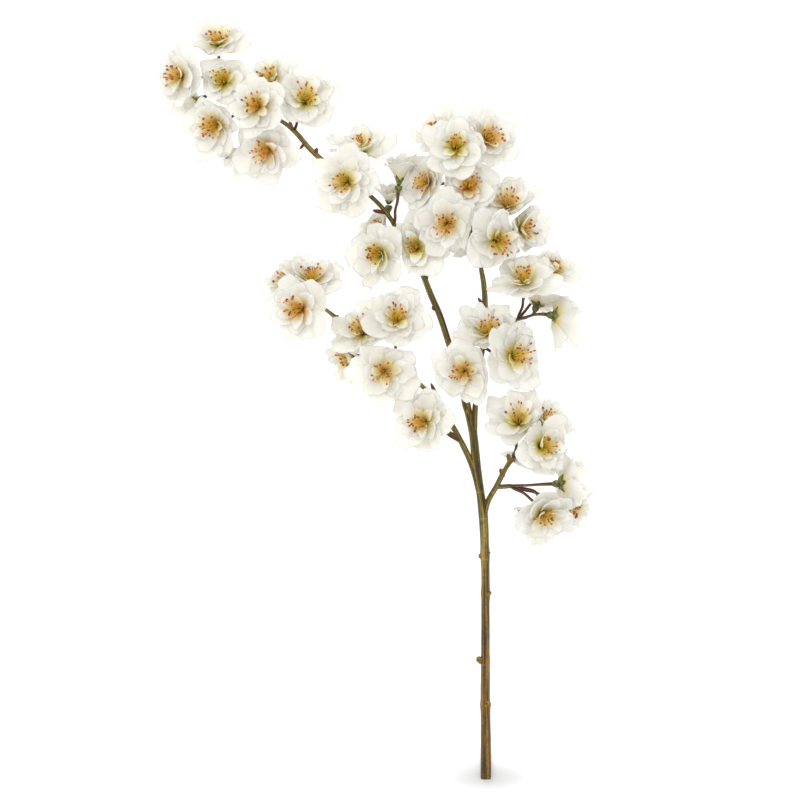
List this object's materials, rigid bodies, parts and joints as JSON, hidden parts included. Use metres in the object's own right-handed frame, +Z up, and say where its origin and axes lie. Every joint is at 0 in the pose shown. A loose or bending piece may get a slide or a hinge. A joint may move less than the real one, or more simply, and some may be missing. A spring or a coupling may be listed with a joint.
{
  "type": "apple blossom sprig",
  "caption": "Cut woody sprig of semi-double white apple blossom with side branches, green cups, stalks and buds, lying flat.",
  "frame": {"origin": "middle of the sprig's outline in plan, on the surface that it lies on", "axes": "+Y along the stem from the cut end to the blossoming tips, +X to the right seen from above, +Z up"},
  "size_m": [0.3067, 0.5357, 0.0705],
  "materials": {
    "petal": "soft pearly white, matt, thin",
    "bark": "olive brown young bark, satin"
  },
  "bodies": {
    "root": {"blossom_a_01": "petal", "blossom_a_02": "petal", "blossom_a_03": "petal", "blossom_a_04": "petal", "blossom_a_05": "petal", "blossom_a_06": "petal", "blossom_a_07": "petal", "blossom_a_08": "petal", "blossom_a_09": "petal", "blossom_a_10": "petal", "blossom_b_01": "petal", "blossom_b_02": "petal", "blossom_b_03": "petal", "blossom_b_04": "petal", "blossom_b_05": "petal", "blossom_b_06": "petal", "blossom_b_07": "petal", "blossom_c_01": "petal", "blossom_c_02": "petal", "blossom_c_03": "petal", "blossom_c_04": "petal", "blossom_c_05": "petal", "blossom_c_06": "petal", "blossom_c_07": "petal", "blossom_c_08": "petal", "blossom_c_09": "petal", "blossom_c_10": "petal", "blossom_d_01": "petal", "blossom_d_02": "petal", "blossom_d_03": "petal", "blossom_d_04": "petal", "blossom_d_05": "petal", "blossom_d_06": "petal", "blossom_d_07": "petal", "blossom_e_01": "petal", "blossom_e_02": "petal", "blossom_e_03": "petal", "blossom_e_04": "petal", "blossom_e_05": "petal", "blossom_e_06": "petal", "blossom_e_07": "petal", "blossom_e_08": "petal", "blossom_f_01": "petal", "blossom_f_02": "petal", "blossom_f_03": "petal", "blossom_f_04": "petal", "blossom_f_05": "petal", "blossom_f_06": "petal", "blossom_f_07": "petal", "blossom_f_08": "petal", "branch": "bark"}
  },
  "joints": []
}
